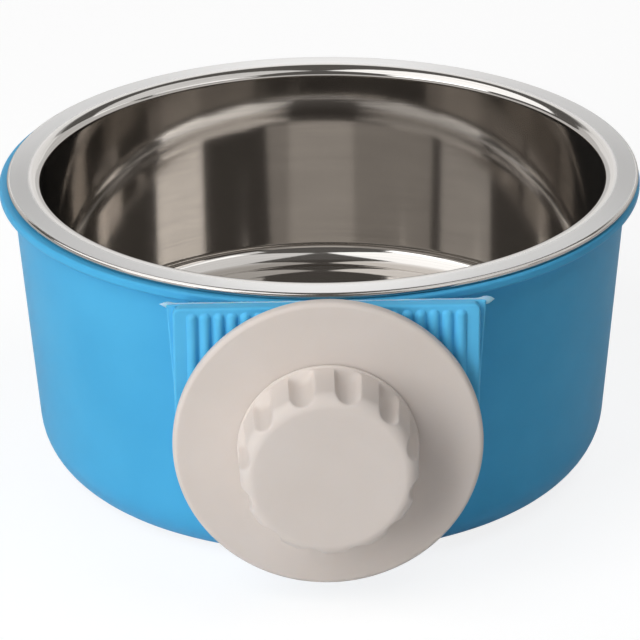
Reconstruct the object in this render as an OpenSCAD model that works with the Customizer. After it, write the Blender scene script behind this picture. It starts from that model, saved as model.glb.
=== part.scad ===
// Clamp-on cage bowl: a moulded bowl with a lift-out steel insert. A screw clamp on its front
// wall grips the wires of a cage between a ribbed plate and a round disc.
// Millimetres. The origin is the centre of the foot, +Z is up and the clamp faces -Y.

/* [Outer bowl] */
// Outside diameter of the lip
lip_d = 140; // [138:1:144]
// Height of the lip's top above the foot
bowl_h = 65.8; // [65:0.1:67]
// Height of the lip's outer edge
lip_h = 2; // [1.5:0.1:3]
// How far the lip stands out from the wall
lip_overhang = 3; // [2:0.1:4]
// Thickness of the wall and the floor
bowl_t = 1.8; // [1.6:0.1:1.9]
// Slope of the wall from upright, in degrees
wall_taper = 4.7; // [4:0.1:5]
// Outside radius between the wall and the foot
corner_r = 13; // [11:0.5:15]

/* [Steel insert] */
// Outside diameter of the rolled rim
rim_d = 138; // [136:0.5:138]
// Height of the flat rim above the foot
rim_z = 67.3; // [67.2:0.1:68]
// Inside diameter of the mouth, under the rounded inner edge
mouth_d = 122.6; // [118:0.2:124]
// Thickness of the steel sheet
sheet_t = 0.6; // [0.5:0.1:0.8]
// Radius of the rounded inner edge of the rim
rim_round = 1.8; // [1.5:0.1:2.5]
// Diameter of the rolled bead round the rim
bead_d = 1.4; // [1.2:0.1:1.4]
// Height of the steel floor above the foot
insert_floor = 19.8; // [16:0.1:22]
// Inside radius between the steel wall and floor
insert_corner = 3; // [2:0.5:6]
// Slope of the steel wall from upright, in degrees
insert_taper = 1.3; // [1.2:0.1:4]
// Sideways seat of the loose insert in the lip
insert_x = 0.7; // [0:0.1:0.8]

/* [Mounting plate] */
// Width of the plate
plate_w = 62.8; // [60:0.2:64]
// Height of the plate's top edge above the foot
plate_top = 65.9; // [65:0.1:67]
// Distance of the plate's face from the bowl's axis
plate_face = 72.2; // [72:0.1:73]
// Thickness of the plate with its back flange
plate_t = 3; // [2.6:0.1:3]
// Thickness of the back flange
flange_t = 1.2; // [1:0.1:1.4]
// How far the flange stands out past the plate's sides at the top
flange_side = 1.3; // [0.5:0.1:2]
// Number of grip ribs
rib_count = 21; // [11:2:21]
// Spacing of the grip ribs
rib_pitch = 2.75; // [2.6:0.05:2.8]
// Radius of a grip rib
rib_r = 1.1; // [0.9:0.05:1.2]
// How far a rib stands out from the plate
rib_h = 0.9; // [0.7:0.05:0.9]

/* [Clamp] */
// Height of the clamp's axis above the foot
axis_z = 36.8; // [36.5:0.1:37.5]
// Diameter of the clamp disc
disc_d = 64; // [60:0.5:66]
// Thickness of the disc at its rim
disc_rim_t = 3; // [2.6:0.1:3.2]
// Thickness of the disc round its hole
disc_hub_t = 3.6; // [3.4:0.1:4]
// Gap between the ribs and the disc when the clamp is closed
jaw_gap = 0.9; // [0.5:0.1:1.5]
// Diameter of the bolt
bolt_d = 12; // [11:0.5:12]
// Length of the bolt in front of the plate
bolt_reach = 17.2; // [16.4:0.1:17.4]

/* [Knob] */
// Height of the knob
knob_h = 14.5; // [14.2:0.1:16]
// Diameter of the round skirt at the knob's back
skirt_d = 37.5; // [37.4:0.1:38]
// Diameter over the lobes at the back
lobe_d_back = 37; // [36.8:0.1:37.2]
// Diameter over the lobes at the front
lobe_d_front = 36.4; // [36:0.1:36.8]
// Radius of the rounded front edge
knob_edge = 3; // [2:0.1:3.5]
// Number of flutes
flute_count = 12; // [8:1:14]
// Radius of a flute
flute_r = 3; // [2.5:0.1:3.2]
// Distance of a flute's floor from the knob's axis
flute_floor = 16.6; // [16.4:0.1:17]
// How far the lowest lobe is turned to the right at rest, in degrees
knob_rest = 2.5; // [0:0.5:15]

/* [Hidden] */
$fn = 96;
arc_steps = 10;
over = 1;

lip_r = lip_d / 2;
lip_z = bowl_h - lip_h;
lip_edge = 0.5;
lip_fillet = 0.8;
floor_t = 2.5;
inner_corner = corner_r - bowl_t;

bead_r = bead_d / 2;
bead_x = rim_d / 2 - bead_r;

plate_hw = plate_w / 2;
plate_back = plate_face - plate_t;
plate_corner = 1.6;
flange_taper_end = 45;
rib_sink = rib_r - rib_h;
rib_top = plate_top - 1.1;
rib_margin = 2.2;
rib_land_r = 9;

boss_hw = 26;
boss_top = 60;
boss_root = 40;
head_w = 18;
head_t = 4.5;
head_play = 0.1;

bolt_r = bolt_d / 2;
bolt_end = plate_face + bolt_reach;
bolt_chamfer = 1;
plate_hole_r = bolt_r + 0.3;
disc_hole_r = bolt_r + 0.4;
knob_bore_r = bolt_r + 0.05;

disc_back = plate_face + rib_h + jaw_gap;
disc_front = disc_back + disc_hub_t;
disc_r = disc_d / 2;
disc_flat_r = 20;
disc_edge = 1.1;

knob_back = disc_front + 0.1;
knob_front = knob_back + knob_h;
skirt_h = 1.2;
skirt_edge = 0.5;
knob_face_t = 2.2;
knob_wall_r = 13.8;
knob_hub_r = 9;

// Radius at height z of a wall that leans out by an angle and passes through [r0, z0]
function lean(r0, z0, z, taper = wall_taper) = r0 + (z - z0) * tan(taper);

// Radius of the centre of a corner of radius r between that wall and a floor at height z
function corner_x(r0, z0, z, r, taper = wall_taper) = lean(r0, z0, z + r, taper) - r / cos(taper);

// Points of an arc about [x, y] from angle a to angle b
function arc(x, y, r, a, b, steps = arc_steps) =
    [for (i = [0:steps]) let (t = a + (b - a) * i / steps) [x + r * cos(t), y + r * sin(t)]];

// A flat outline drawn in x and height, as a slab between two distances from the bowl's axis
module slab(from, to) {
    translate([0, -from, 0]) rotate([90, 0, 0]) linear_extrude(to - from) children();
}

// A profile drawn in radius and distance from the bowl's axis, turned about the clamp's axis
module turned() {
    translate([0, 0, axis_z]) rotate([90, 0, 0]) rotate_extrude() children();
}

// A round bar on the clamp's axis, between two distances from the bowl's axis
module axis_bar(r, from, to) {
    translate([0, -from, axis_z]) rotate([90, 0, 0]) cylinder(r = r, h = to - from);
}

// Straight-sided outline with a half-round lower end about the clamp's axis
module arched_outline(half_w, top) {
    translate([-half_w, axis_z]) square([2 * half_w, top - axis_z]);
    intersection() {
        translate([0, axis_z]) circle(r = half_w);
        translate([-half_w, axis_z - half_w]) square([2 * half_w, half_w]);
    }
}

// The solid outside of the bowl, filled to its axis
module bowl_outside() {
    wall_r = lip_r - lip_overhang;
    foot_x = corner_x(wall_r, lip_z, 0, corner_r);
    rotate_extrude()
        polygon(concat(
            [[0, 0]],
            arc(foot_x, corner_r, corner_r, -90, -wall_taper),
            arc(wall_r + lip_fillet, lip_z - lip_fillet, lip_fillet, 180, 90),
            arc(lip_r - lip_edge, lip_z + lip_edge, lip_edge, -90, 0),
            arc(lip_r - lip_edge, bowl_h - lip_edge, lip_edge, 0, 90),
            [[0, bowl_h]]));
}

// The space inside the bowl
module bowl_inside() {
    wall_r = lip_r - lip_overhang - bowl_t;
    rotate_extrude()
        polygon(concat(
            [[0, floor_t]],
            arc(corner_x(wall_r, lip_z, floor_t, inner_corner), floor_t + inner_corner, inner_corner,
                -90, -wall_taper),
            [[lean(wall_r, lip_z, bowl_h + over), bowl_h + over], [0, bowl_h + over]]));
}

module outer_bowl() {
    head_pocket = head_w + 2 * head_play;
    color("#5abbe8")
        difference() {
            union() {
                bowl_outside();
                slab(boss_root, plate_back) arched_outline(boss_hw, boss_top);
            }
            bowl_inside();
            // A flat on the lip, where the plate stands against it
            slab(plate_back, lip_r + over)
                translate([-plate_hw, lip_z - over]) square([plate_w, lip_h + 2 * over]);
            // A square pocket that keeps the bolt's head from turning
            slab(plate_back - head_t - head_play, plate_back + over)
                translate([0, axis_z]) square(head_pocket, center = true);
        }
}

module steel_bowl() {
    mouth_r = mouth_d / 2;
    round_x = mouth_r + rim_round;
    round_z = rim_z - rim_round;
    foot_x = corner_x(mouth_r, round_z, insert_floor, insert_corner, insert_taper);
    foot_z = insert_floor + insert_corner;
    // The bead runs from the top of the rim, round and back to the underside of the sheet
    bead_close = -180 - asin((bead_r - sheet_t) / bead_r);
    color("silver")
        translate([insert_x, 0, 0])
            rotate_extrude()
                polygon(concat(
                    [[0, insert_floor]],
                    arc(foot_x, foot_z, insert_corner, -90, -insert_taper),
                    arc(round_x, round_z, rim_round, 180, 90),
                    arc(bead_x, rim_z - bead_r, bead_r, 90, bead_close, 2 * arc_steps),
                    arc(round_x, round_z, rim_round - sheet_t, 90, 180),
                    arc(foot_x, foot_z, insert_corner + sheet_t, -insert_taper, -90),
                    [[0, insert_floor - sheet_t]]));
}

// One upright grip rib with round ends, as long as the plate's round lower edge allows
module grip_rib(x) {
    low = axis_z - sqrt(pow(plate_hw - rib_margin, 2) - x * x) + rib_r;
    high = rib_top - rib_r;
    translate([x, rib_sink - plate_face, low]) {
        cylinder(r = rib_r, h = high - low);
        sphere(r = rib_r);
        translate([0, 0, high - low]) sphere(r = rib_r);
    }
}

module mount_plate() {
    color("#69c3f5")
        difference() {
            union() {
                // The back flange is wider at the top and runs into the plate's sides lower down
                slab(plate_back, plate_back + flange_t) {
                    arched_outline(plate_hw, plate_top);
                    polygon([
                        [-plate_hw, flange_taper_end],
                        [plate_hw, flange_taper_end],
                        [plate_hw + flange_side, plate_top],
                        [-plate_hw - flange_side, plate_top]]);
                }
                slab(plate_back + flange_t, plate_face) {
                    arched_outline(plate_hw, plate_top - plate_corner);
                    translate([plate_corner - plate_hw, axis_z])
                        square([plate_w - 2 * plate_corner, plate_top - axis_z]);
                    for (side = [-1, 1])
                        translate([side * (plate_hw - plate_corner), plate_top - plate_corner])
                            circle(r = plate_corner);
                }
                difference() {
                    for (i = [0:rib_count - 1]) grip_rib((i - (rib_count - 1) / 2) * rib_pitch);
                    axis_bar(rib_land_r, plate_face, plate_face + rib_r);
                }
            }
            axis_bar(plate_hole_r, plate_back - over, plate_face + over);
        }
}

module clamp_bolt() {
    color("#cfc8c0") {
        slab(plate_back - head_t, plate_back)
            translate([0, axis_z]) square(head_w, center = true);
        turned()
            polygon([
                [0, plate_back],
                [bolt_r, plate_back],
                [bolt_r, bolt_end - bolt_chamfer],
                [bolt_r - bolt_chamfer, bolt_end],
                [0, bolt_end]]);
    }
}

module clamp_disc() {
    rim_front = disc_back + disc_rim_t;
    color("#d0c8c1")
        turned()
            polygon(concat(
                [[disc_hole_r, disc_back]],
                arc(disc_r - disc_edge, disc_back + disc_edge, disc_edge, -90, 0),
                arc(disc_r - disc_edge, rim_front - disc_edge, disc_edge, 0, 90),
                [[disc_flat_r, disc_front], [disc_hole_r, disc_front]]));
}

// Hollow turned body of the knob: skirt, tapered side, rounded front edge, hub with a blind bore
module knob_body() {
    recess_end = knob_front - knob_face_t;
    side_r = lobe_d_front / 2;
    turned()
        polygon(concat(
            [[knob_bore_r, knob_back], [knob_hub_r, knob_back], [knob_hub_r, recess_end]],
            [[knob_wall_r, recess_end], [knob_wall_r, knob_back]],
            arc(skirt_d / 2 - skirt_edge, knob_back + skirt_edge, skirt_edge, -90, 0),
            [[skirt_d / 2, knob_back + skirt_h - skirt_edge], [lobe_d_back / 2, knob_back + skirt_h]],
            arc(side_r - knob_edge, knob_front - knob_edge, knob_edge, 0, 90),
            [[0, knob_front], [0, recess_end], [knob_bore_r, recess_end]]));
}

module clamp_knob() {
    flute_axis = flute_floor + flute_r;
    color("#c8c2be")
        translate([0, 0, axis_z])
            rotate([0, -knob_rest, 0])
                difference() {
                    translate([0, 0, -axis_z]) knob_body();
                    // The flutes start half a step from the lowest lobe
                    for (i = [0:flute_count - 1])
                        rotate([0, (i + 0.5) * 360 / flute_count, 0])
                            translate([0, -knob_back - skirt_h, -flute_axis])
                                rotate([90, 0, 0]) cylinder(r = flute_r, h = knob_h);
                }
}

outer_bowl();
steel_bowl();
mount_plate();
clamp_bolt();
clamp_disc();
clamp_knob();
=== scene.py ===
"""Looks of a clamp-on cage bowl: a moulded bowl with a spun steel insert and a screw clamp on its front."""

import math

import bmesh
import bpy
from bpy.props import FloatProperty, FloatVectorProperty, IntProperty, PointerProperty
from mathutils import Matrix, Vector, noise


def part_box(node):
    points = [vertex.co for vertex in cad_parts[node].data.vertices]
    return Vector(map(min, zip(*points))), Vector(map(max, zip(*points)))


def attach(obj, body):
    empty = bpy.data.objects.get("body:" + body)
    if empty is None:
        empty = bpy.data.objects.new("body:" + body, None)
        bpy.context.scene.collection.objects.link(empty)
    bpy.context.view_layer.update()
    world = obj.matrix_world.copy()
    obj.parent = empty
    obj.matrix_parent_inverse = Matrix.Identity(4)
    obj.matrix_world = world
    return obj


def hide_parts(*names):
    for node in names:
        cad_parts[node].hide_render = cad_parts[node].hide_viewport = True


bl_info = {
    "name": "Clamp-on cage bowl",
    "version": (1, 0, 0),
    "blender": (4, 5, 0),
    "location": "View3D > Sidebar > Cage bowl",
    "description": "Builds a cage bowl with a steel insert and a screw clamp, its finishes and a stage",
    "category": "Object",
}

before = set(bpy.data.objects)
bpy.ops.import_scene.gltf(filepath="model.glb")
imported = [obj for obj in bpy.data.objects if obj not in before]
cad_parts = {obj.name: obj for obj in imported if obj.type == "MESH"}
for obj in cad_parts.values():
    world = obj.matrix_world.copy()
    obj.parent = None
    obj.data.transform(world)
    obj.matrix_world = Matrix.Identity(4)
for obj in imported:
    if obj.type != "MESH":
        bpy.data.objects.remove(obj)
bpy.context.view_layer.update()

MM = 0.001
BOWL_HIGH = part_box("outer_bowl")[1]
STEEL_LOW, STEEL_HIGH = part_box("steel_bowl")
PLATE_LOW, PLATE_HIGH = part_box("mount_plate")
BOLT_LOW, BOLT_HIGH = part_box("clamp_bolt")
DISC_LOW, DISC_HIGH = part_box("clamp_disc")
KNOB_LOW, KNOB_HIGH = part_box("clamp_knob")

STEEL_X = (STEEL_LOW.x + STEEL_HIGH.x) / 2
AXIS_HEIGHT = (DISC_LOW.z + DISC_HIGH.z) / 2
# Pieces of the clamp are drawn with local Z along the clamp's axis, away from the bowl, and local Y up
CLAMP_FRAME = Matrix.Translation((0, 0, AXIS_HEIGHT)) @ Matrix.Rotation(math.radians(90), 4, "X")
BOWL_FRAME = Matrix.Identity(4)
INSERT_FRAME = Matrix.Translation((STEEL_X, 0, 0))

# Sizes that several settings share
STEEL_SHEET = 0.6 * MM
PLATE_HALF = 31.4 * MM
PLATE_FACE = 72.2 * MM

# Fineness of the meshes
ARC_STEP = math.radians(6)
FINE_STEP = math.radians(4)
SMOOTH_ANGLE = math.radians(32)
MOULDED_SEGMENTS = 256
STEEL_SEGMENTS = 320
THREAD_SEGMENTS = 120
HOLE_SEGMENTS = 96
FLUTE_SEGMENTS = 32
SWEEP_SEGMENTS = 96

# Finishes and stage
PLASTIC_IOR = 1.49
BOWL_MIDDLE = Vector((0, 0, BOWL_HIGH.z / 2))
LAMP_DISTANCE = 1.22
CARD_TINT = (0.96, 0.98, 1.0)
ROOM_TINT = (1.0, 0.97, 0.93, 1)
PAPER_TONE = 0.85


def length(label, text, value):
    """A size in metres that a user may change."""
    return FloatProperty(name=label, description=text, default=value, unit="LENGTH", precision=5)


def angle(label, text, degrees):
    """An angle that a user may change."""
    return FloatProperty(name=label, description=text, default=math.radians(degrees), subtype="ANGLE")


def amount(label, text, value):
    """A plain number that a user may change."""
    return FloatProperty(name=label, description=text, default=value, precision=4)


def colour(label, text, value):
    """A linear colour that a user may change."""
    return FloatVectorProperty(
        name=label, description=text, default=value, size=3, min=0, max=1, subtype="COLOR"
    )


class CageBowlOuter(bpy.types.PropertyGroup):
    """Sizes of the moulded outer bowl and its boss."""

    lip_radius: length("Lip radius", "Outside radius of the lip", BOWL_HIGH.y)
    height: length("Height", "Height of the lip's top above the foot", BOWL_HIGH.z)
    lip_height: length("Lip height", "Height of the lip's outer edge", 2.0 * MM)
    overhang: length("Overhang", "How far the lip stands out from the wall", 3.0 * MM)
    wall: length("Wall", "Thickness of the wall", 1.8 * MM)
    floor: length("Floor", "Thickness of the floor", 2.5 * MM)
    corner: length("Corner", "Outside radius between wall and foot", 13.0 * MM)
    taper: angle("Taper", "Slope of the wall from upright", 4.7)
    lip_round: length("Lip rounding", "Rounding of the lip's edges", 0.6 * MM)
    lip_fillet: length("Lip fillet", "Hollow rounding under the lip", 1.0 * MM)
    boss_half: length("Boss half width", "Half the width of the boss behind the plate", 26.0 * MM)
    boss_top: length("Boss top", "Height of the boss above the clamp's axis", 60.0 * MM - AXIS_HEIGHT)
    boss_fillet: length("Boss fillet", "Rounding between the boss and the wall", 1.6 * MM)


class CageBowlInsert(bpy.types.PropertyGroup):
    """Sizes of the spun steel insert."""

    rim_radius: length("Rim radius", "Outside radius of the rolled rim", STEEL_HIGH.x - STEEL_X)
    rim_height: length("Rim height", "Height of the flat rim above the foot", STEEL_HIGH.z)
    mouth_radius: length("Mouth radius", "Radius inside, under the rounded inner edge", 61.3 * MM)
    sheet: length("Sheet", "Thickness of the steel sheet", STEEL_SHEET)
    rim_round: length("Rim rounding", "Radius of the rounded inner edge", 2.3 * MM)
    bead: length("Bead radius", "Radius of the rolled bead", 0.7 * MM)
    floor_height: length("Floor height", "Height of the steel floor's top", STEEL_LOW.z + STEEL_SHEET)
    corner: length("Corner", "Inside radius between wall and floor", 4.5 * MM)
    taper: angle("Taper", "Slope of the wall from upright", 1.3)


class CageBowlPlate(bpy.types.PropertyGroup):
    """Sizes of the ribbed plate."""

    half_width: length("Half width", "Half the width of the plate", PLATE_HALF)
    top: length("Top", "Height of the plate's top above the clamp's axis", PLATE_HIGH.z - AXIS_HEIGHT)
    back: length("Back", "Distance of the plate's back from the bowl's axis", -PLATE_HIGH.y)
    face: length("Face", "Distance of the plate's face from the bowl's axis", PLATE_FACE)
    flange: length("Flange", "Thickness of the back flange", 1.2 * MM)
    flange_side: length("Flange side", "How far the flange stands out at the top", PLATE_HIGH.x - PLATE_HALF)
    flange_end: length("Flange end", "Height above the axis where the flange ends", 45 * MM - AXIS_HEIGHT)
    corner: length("Corner", "Radius of the top corners", 1.6 * MM)
    edge: length("Edge", "Rounding of the front edge", 0.5 * MM)
    ribs: IntProperty(name="Ribs", description="Number of grip ribs", default=21, min=1)
    rib_pitch: length("Rib pitch", "Spacing of the ribs", 2.75 * MM)
    rib_radius: length("Rib radius", "Radius of a rib", 1.1 * MM)
    rib_height: length("Rib height", "How far a rib stands out", -PLATE_LOW.y - PLATE_FACE)
    rib_gap_top: length("Rib gap", "Gap between the plate's top and the ribs", 1.1 * MM)
    rib_margin: length("Rib margin", "Gap between the plate's round end and the ribs", 2.2 * MM)
    land: length("Land", "Radius of the plain ring round the hole", 9.0 * MM)
    hole: length("Hole", "Radius of the hole for the bolt", 6.3 * MM)


class CageBowlClamp(bpy.types.PropertyGroup):
    """Sizes of the bolt, the disc and the knob."""

    bolt_radius: length("Bolt radius", "Radius over the bolt's thread", 6.0 * MM)
    thread_pitch: length("Thread pitch", "Travel of the knob in one turn", 3.0 * MM)
    thread_depth: length("Thread depth", "Depth of the thread", 1.0 * MM)
    head_half: length("Head half width", "Half the width of the bolt's square head", BOLT_HIGH.x)
    head_thick: length("Head thickness", "Thickness of the bolt's head", 4.5 * MM)
    disc_radius: length("Disc radius", "Radius of the clamp disc", DISC_HIGH.x)
    disc_rim: length("Disc rim", "Thickness of the disc at its rim", 3.0 * MM)
    disc_edge: length("Disc edge", "Rounding of the disc's edge", 1.1 * MM)
    disc_flat: length("Disc flat", "Radius of the flat round the hole", 18.0 * MM)
    disc_hole: length("Disc hole", "Radius of the hole for the bolt", 6.4 * MM)
    skirt_radius: length("Skirt radius", "Radius of the knob's round skirt", KNOB_HIGH.x)
    skirt_height: length("Skirt height", "Height of the skirt", 1.2 * MM)
    lobe_back: length("Lobe back", "Radius over the lobes next to the skirt", 18.5 * MM)
    lobe_front: length("Lobe front", "Radius over the lobes at the front", 18.2 * MM)
    knob_edge: length("Knob edge", "Rounding of the knob's front edge", 3.0 * MM)
    flutes: IntProperty(name="Flutes", description="Number of flutes", default=12, min=3)
    flute_radius: length("Flute radius", "Radius of a flute", 3.0 * MM)
    flute_floor: length("Flute floor", "Distance of a flute's floor from the axis", 16.6 * MM)
    flute_blend: length("Flute blend", "Softness of the flutes' edges", 0.5 * MM)
    knob_rest: angle("Knob rest", "How far the lowest lobe is turned to the right at rest", 2.5)
    knob_face: length("Knob face", "Thickness of the knob's face", 2.2 * MM)
    knob_wall: length("Knob wall", "Inside radius of the knob's wall", 13.8 * MM)
    knob_hub: length("Knob hub", "Radius of the knob's hub", 9.0 * MM)
    knob_bore: length("Knob bore", "Radius of the knob's bore", 6.05 * MM)


class CageBowlFinish(bpy.types.PropertyGroup):
    """Colours of the mouldings and the steel."""

    bowl_blue: colour("Bowl blue", "Light blue of the outer bowl", (0.077, 0.432, 0.737))
    bowl_blue_deep: colour("Bowl deep blue", "Darker flow streaks in the bowl", (0.066, 0.398, 0.699))
    plate_blue: colour("Plate blue", "Light blue of the ribbed plate", (0.116, 0.518, 0.836))
    plate_blue_deep: colour("Plate deep blue", "Darker flow streaks in the plate", (0.100, 0.485, 0.810))
    off_white: colour("Off-white", "Off-white of the disc and the knob", (0.708, 0.645, 0.605))
    off_white_warm: colour("Warm off-white", "Warmer flow streaks in the off-white", (0.683, 0.617, 0.571))
    steel: colour("Steel", "Spun stainless steel", (0.592, 0.562, 0.530))
    steel_dark: colour("Dark steel", "Deeper lines of the spinning", (0.515, 0.489, 0.461))
    # Paler tone of the rim: painted sheen on the same steel, besides its real satin roughness
    steel_satin_painted_sheen: colour("Satin steel", "Satin rim of the insert", (0.800, 0.785, 0.770))
    flash: colour("Flash", "Pale plastic squeezed out along the plate's top", (0.420, 0.660, 0.810))


class CageBowlStage(bpy.types.PropertyGroup):
    """Camera, lamps and backdrop."""

    target: FloatVectorProperty(
        name="Target", description="Point the camera looks at", default=(-0.17 * MM, 0, 30.72 * MM),
        size=3, subtype="TRANSLATION", unit="LENGTH",
    )
    distance: length("Distance", "Distance of the camera from its target", 966 * MM)
    elevation: angle("Elevation", "Height of the camera above the horizon", 24.063)
    azimuth: angle("Azimuth", "Turn of the camera to the right of the clamp", -0.94)
    roll: angle("Roll", "Roll of the camera", -0.572)
    focal: amount("Focal length", "Lens in mm on a 36 mm sensor", 244.6)
    key_power: amount("Key power", "Power of the tall softbox on the left in watts", 8.6)
    left_power: amount("Left power", "Power of the high softbox on the left in watts", 4.4)
    right_power: amount("Right power", "Power of the high softbox on the right in watts", 3.3)
    back_power: amount("Back power", "Power of the softbox behind the bowl in watts", 3.0)
    room: amount("Room", "Brightness of the room", 0.02)
    mirrored_room: amount("Mirrored room", "Brightness of the room in reflections", 0.14)
    white: amount("White", "Share of plain white in the paper as the camera sees it", 0.84)
    lift: amount("Lift", "How much brighter the camera sees the rest of the paper", 1.7)
    mirrored_floor: amount("Mirrored floor", "Share of plain white in the floor in reflections", 0.1)
    mirrored_wall: amount("Mirrored wall", "Share of plain white in the backdrop in reflections", 0.75)


class CageBowlSettings(bpy.types.PropertyGroup):
    """All settings of the cage bowl."""

    outer: PointerProperty(type=CageBowlOuter)
    insert: PointerProperty(type=CageBowlInsert)
    plate: PointerProperty(type=CageBowlPlate)
    clamp: PointerProperty(type=CageBowlClamp)
    finish: PointerProperty(type=CageBowlFinish)
    stage: PointerProperty(type=CageBowlStage)


# Curves and profiles


def arc(centre, radius, start, end, step=ARC_STEP):
    """Points of an arc about a centre, between two angles in degrees."""
    first, last = math.radians(start), math.radians(end)
    count = max(2, math.ceil(abs(last - first) / step))
    turns = [first + (last - first) * i / count for i in range(count + 1)]
    return [(centre[0] + radius * math.cos(t), centre[1] + radius * math.sin(t)) for t in turns]


def spaced(start, end, count):
    """Evenly spaced numbers from start to end."""
    return [start + (end - start) * i / count for i in range(count + 1)]


def smooth(low, high, value):
    """0 below low, 1 above high, with a soft step between."""
    share = min(1.0, max(0.0, (value - low) / (high - low)))
    return share * share * (3 - 2 * share)


def soft_max(a, b, blend):
    """The larger of two numbers, with their crossing rounded over a blend distance."""
    share = max(0.0, blend - abs(a - b)) / blend
    return max(a, b) + share * share * blend / 4


def soft_min(a, b, blend):
    """The smaller of two numbers, with their crossing rounded over a blend distance."""
    return -soft_max(-a, -b, blend)


def bell(value, middle, width):
    """1 at the middle, falling off softly over a width on both sides."""
    return math.exp(-(((value - middle) / width) ** 2))


def corner_centre(radius, height, floor, corner, taper):
    """Centre of a rounded corner between a floor and a wall that leans out and passes (radius, height)."""
    wall = radius + (floor + corner - height) * math.tan(taper)
    return wall - corner / math.cos(taper), floor + corner


# Meshes and objects


def turned(profile, segments, shape=None):
    """Vertices and faces turned about Z from (radius, height) points; a radius of 0 is a pole.

    A profile that ends away from the axis is closed on itself. Shape moves a ring's point by its angle.
    """
    verts = []
    rings = []
    for radius, height in profile:
        steps = 1 if radius == 0 else segments
        ring = []
        for step in range(steps):
            turn = 2 * math.pi * step / segments
            reach = shape(radius, height, turn) if shape and radius else radius
            ring.append(len(verts))
            verts.append((reach * math.cos(turn), reach * math.sin(turn), height))
        rings.append(ring)
    pairs = list(zip(rings, rings[1:]))
    if len(rings[0]) > 1 and len(rings[-1]) > 1:
        pairs.append((rings[-1], rings[0]))
    faces = []
    for low, high in pairs:
        for step in range(segments):
            after = (step + 1) % segments
            corners = [
                low[step % len(low)],
                low[after % len(low)],
                high[after % len(high)],
                high[step % len(high)],
            ]
            faces.append(list(dict.fromkeys(corners)))
    return verts, faces


def joined(*parts):
    """Several lists of vertices and faces as one."""
    verts = []
    faces = []
    for part_verts, part_faces in parts:
        start = len(verts)
        verts.extend(part_verts)
        faces.extend([start + index for index in face] for face in part_faces)
    return verts, faces


def stacked(rings, first_cap=True, last_cap=True):
    """Closed rings of points, all with the same count, joined in order and capped."""
    count = len(rings[0])
    verts = [point for ring in rings for point in ring]
    faces = []
    for level in range(len(rings) - 1):
        for step in range(count):
            after = (step + 1) % count
            low, high = level * count, (level + 1) * count
            faces.append([low + step, low + after, high + after, high + step])
    if first_cap:
        faces.append(list(reversed(range(count))))
    if last_cap:
        faces.append(list(range(len(verts) - count, len(verts))))
    return verts, faces


def new_piece(name, shape, place):
    """An object with smooth faces and crisp corners, made from vertices and faces."""
    mesh = bpy.data.meshes.new(name)
    mesh.from_pydata(shape[0], [], shape[1])
    work = bmesh.new()
    work.from_mesh(mesh)
    bmesh.ops.recalc_face_normals(work, faces=work.faces)
    work.to_mesh(mesh)
    work.free()
    piece = bpy.data.objects.new(name, mesh)
    bpy.context.scene.collection.objects.link(piece)
    piece.matrix_world = place
    shade(piece)
    return piece


def shade(piece):
    """Smooth shading that breaks at sharp edges."""
    piece.data.shade_smooth()
    piece.data.set_sharp_from_angle(angle=SMOOTH_ANGLE)


def carve(piece, tool):
    """Cuts the tool's volume out of a piece and removes the tool."""
    cut = piece.modifiers.new("cut", "BOOLEAN")
    cut.operation = "DIFFERENCE"
    cut.solver = "EXACT"
    cut.object = tool
    bpy.context.view_layer.update()
    graph = bpy.context.evaluated_depsgraph_get()
    mesh = bpy.data.meshes.new_from_object(piece.evaluated_get(graph))
    piece.modifiers.clear()
    mesh.name = piece.data.name
    piece.data = mesh
    bpy.data.objects.remove(tool)
    shade(piece)


def dress(piece, body, slot, material, *nodes):
    """Gives a piece its material, the body it rides on and the nodes it stands for."""
    piece.data.materials.clear()
    piece.data.materials.append(material)
    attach(piece, body)
    if nodes:
        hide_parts(*nodes)
    return piece


# Shader node groups


def new_group(name, inputs, outputs):
    """An empty shader node group with named float inputs and outputs, and its two end nodes."""
    group = bpy.data.node_groups.new(name, "ShaderNodeTree")
    for label, value in inputs:
        socket = group.interface.new_socket(name=label, in_out="INPUT", socket_type="NodeSocketFloat")
        socket.default_value = value
    for label in outputs:
        group.interface.new_socket(name=label, in_out="OUTPUT", socket_type="NodeSocketFloat")
    return group, group.nodes.new("NodeGroupInput"), group.nodes.new("NodeGroupOutput")


def feed(tree, socket, source):
    """Links a socket from another, or sets it to a value."""
    if isinstance(source, bpy.types.NodeSocket):
        tree.links.new(source, socket)
    else:
        socket.default_value = source


def math_node(tree, operation, *sources):
    """A math node's output."""
    node = tree.nodes.new("ShaderNodeMath")
    node.operation = operation
    for socket, source in zip(node.inputs, sources):
        feed(tree, socket, source)
    return node.outputs[0]


def noise_node(tree, vector, scale, detail=2.0, roughness=0.5):
    """A noise texture's value."""
    node = tree.nodes.new("ShaderNodeTexNoise")
    feed(tree, node.inputs["Vector"], vector)
    feed(tree, node.inputs["Scale"], scale)
    feed(tree, node.inputs["Detail"], detail)
    feed(tree, node.inputs["Roughness"], roughness)
    return node.outputs["Fac"]


def remap(tree, source, low, high, new_low, new_high):
    """A value moved from one range to another, held at its ends."""
    node = tree.nodes.new("ShaderNodeMapRange")
    for label, value in zip(
        ("Value", "From Min", "From Max", "To Min", "To Max"), (source, low, high, new_low, new_high)
    ):
        feed(tree, node.inputs[label], value)
    return node.outputs["Result"]


def contrast(tree, source):
    """The middle of a noise's range stretched to the range from 0 to 1."""
    return remap(tree, source, 0.35, 0.65, 0.0, 1.0)


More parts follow.
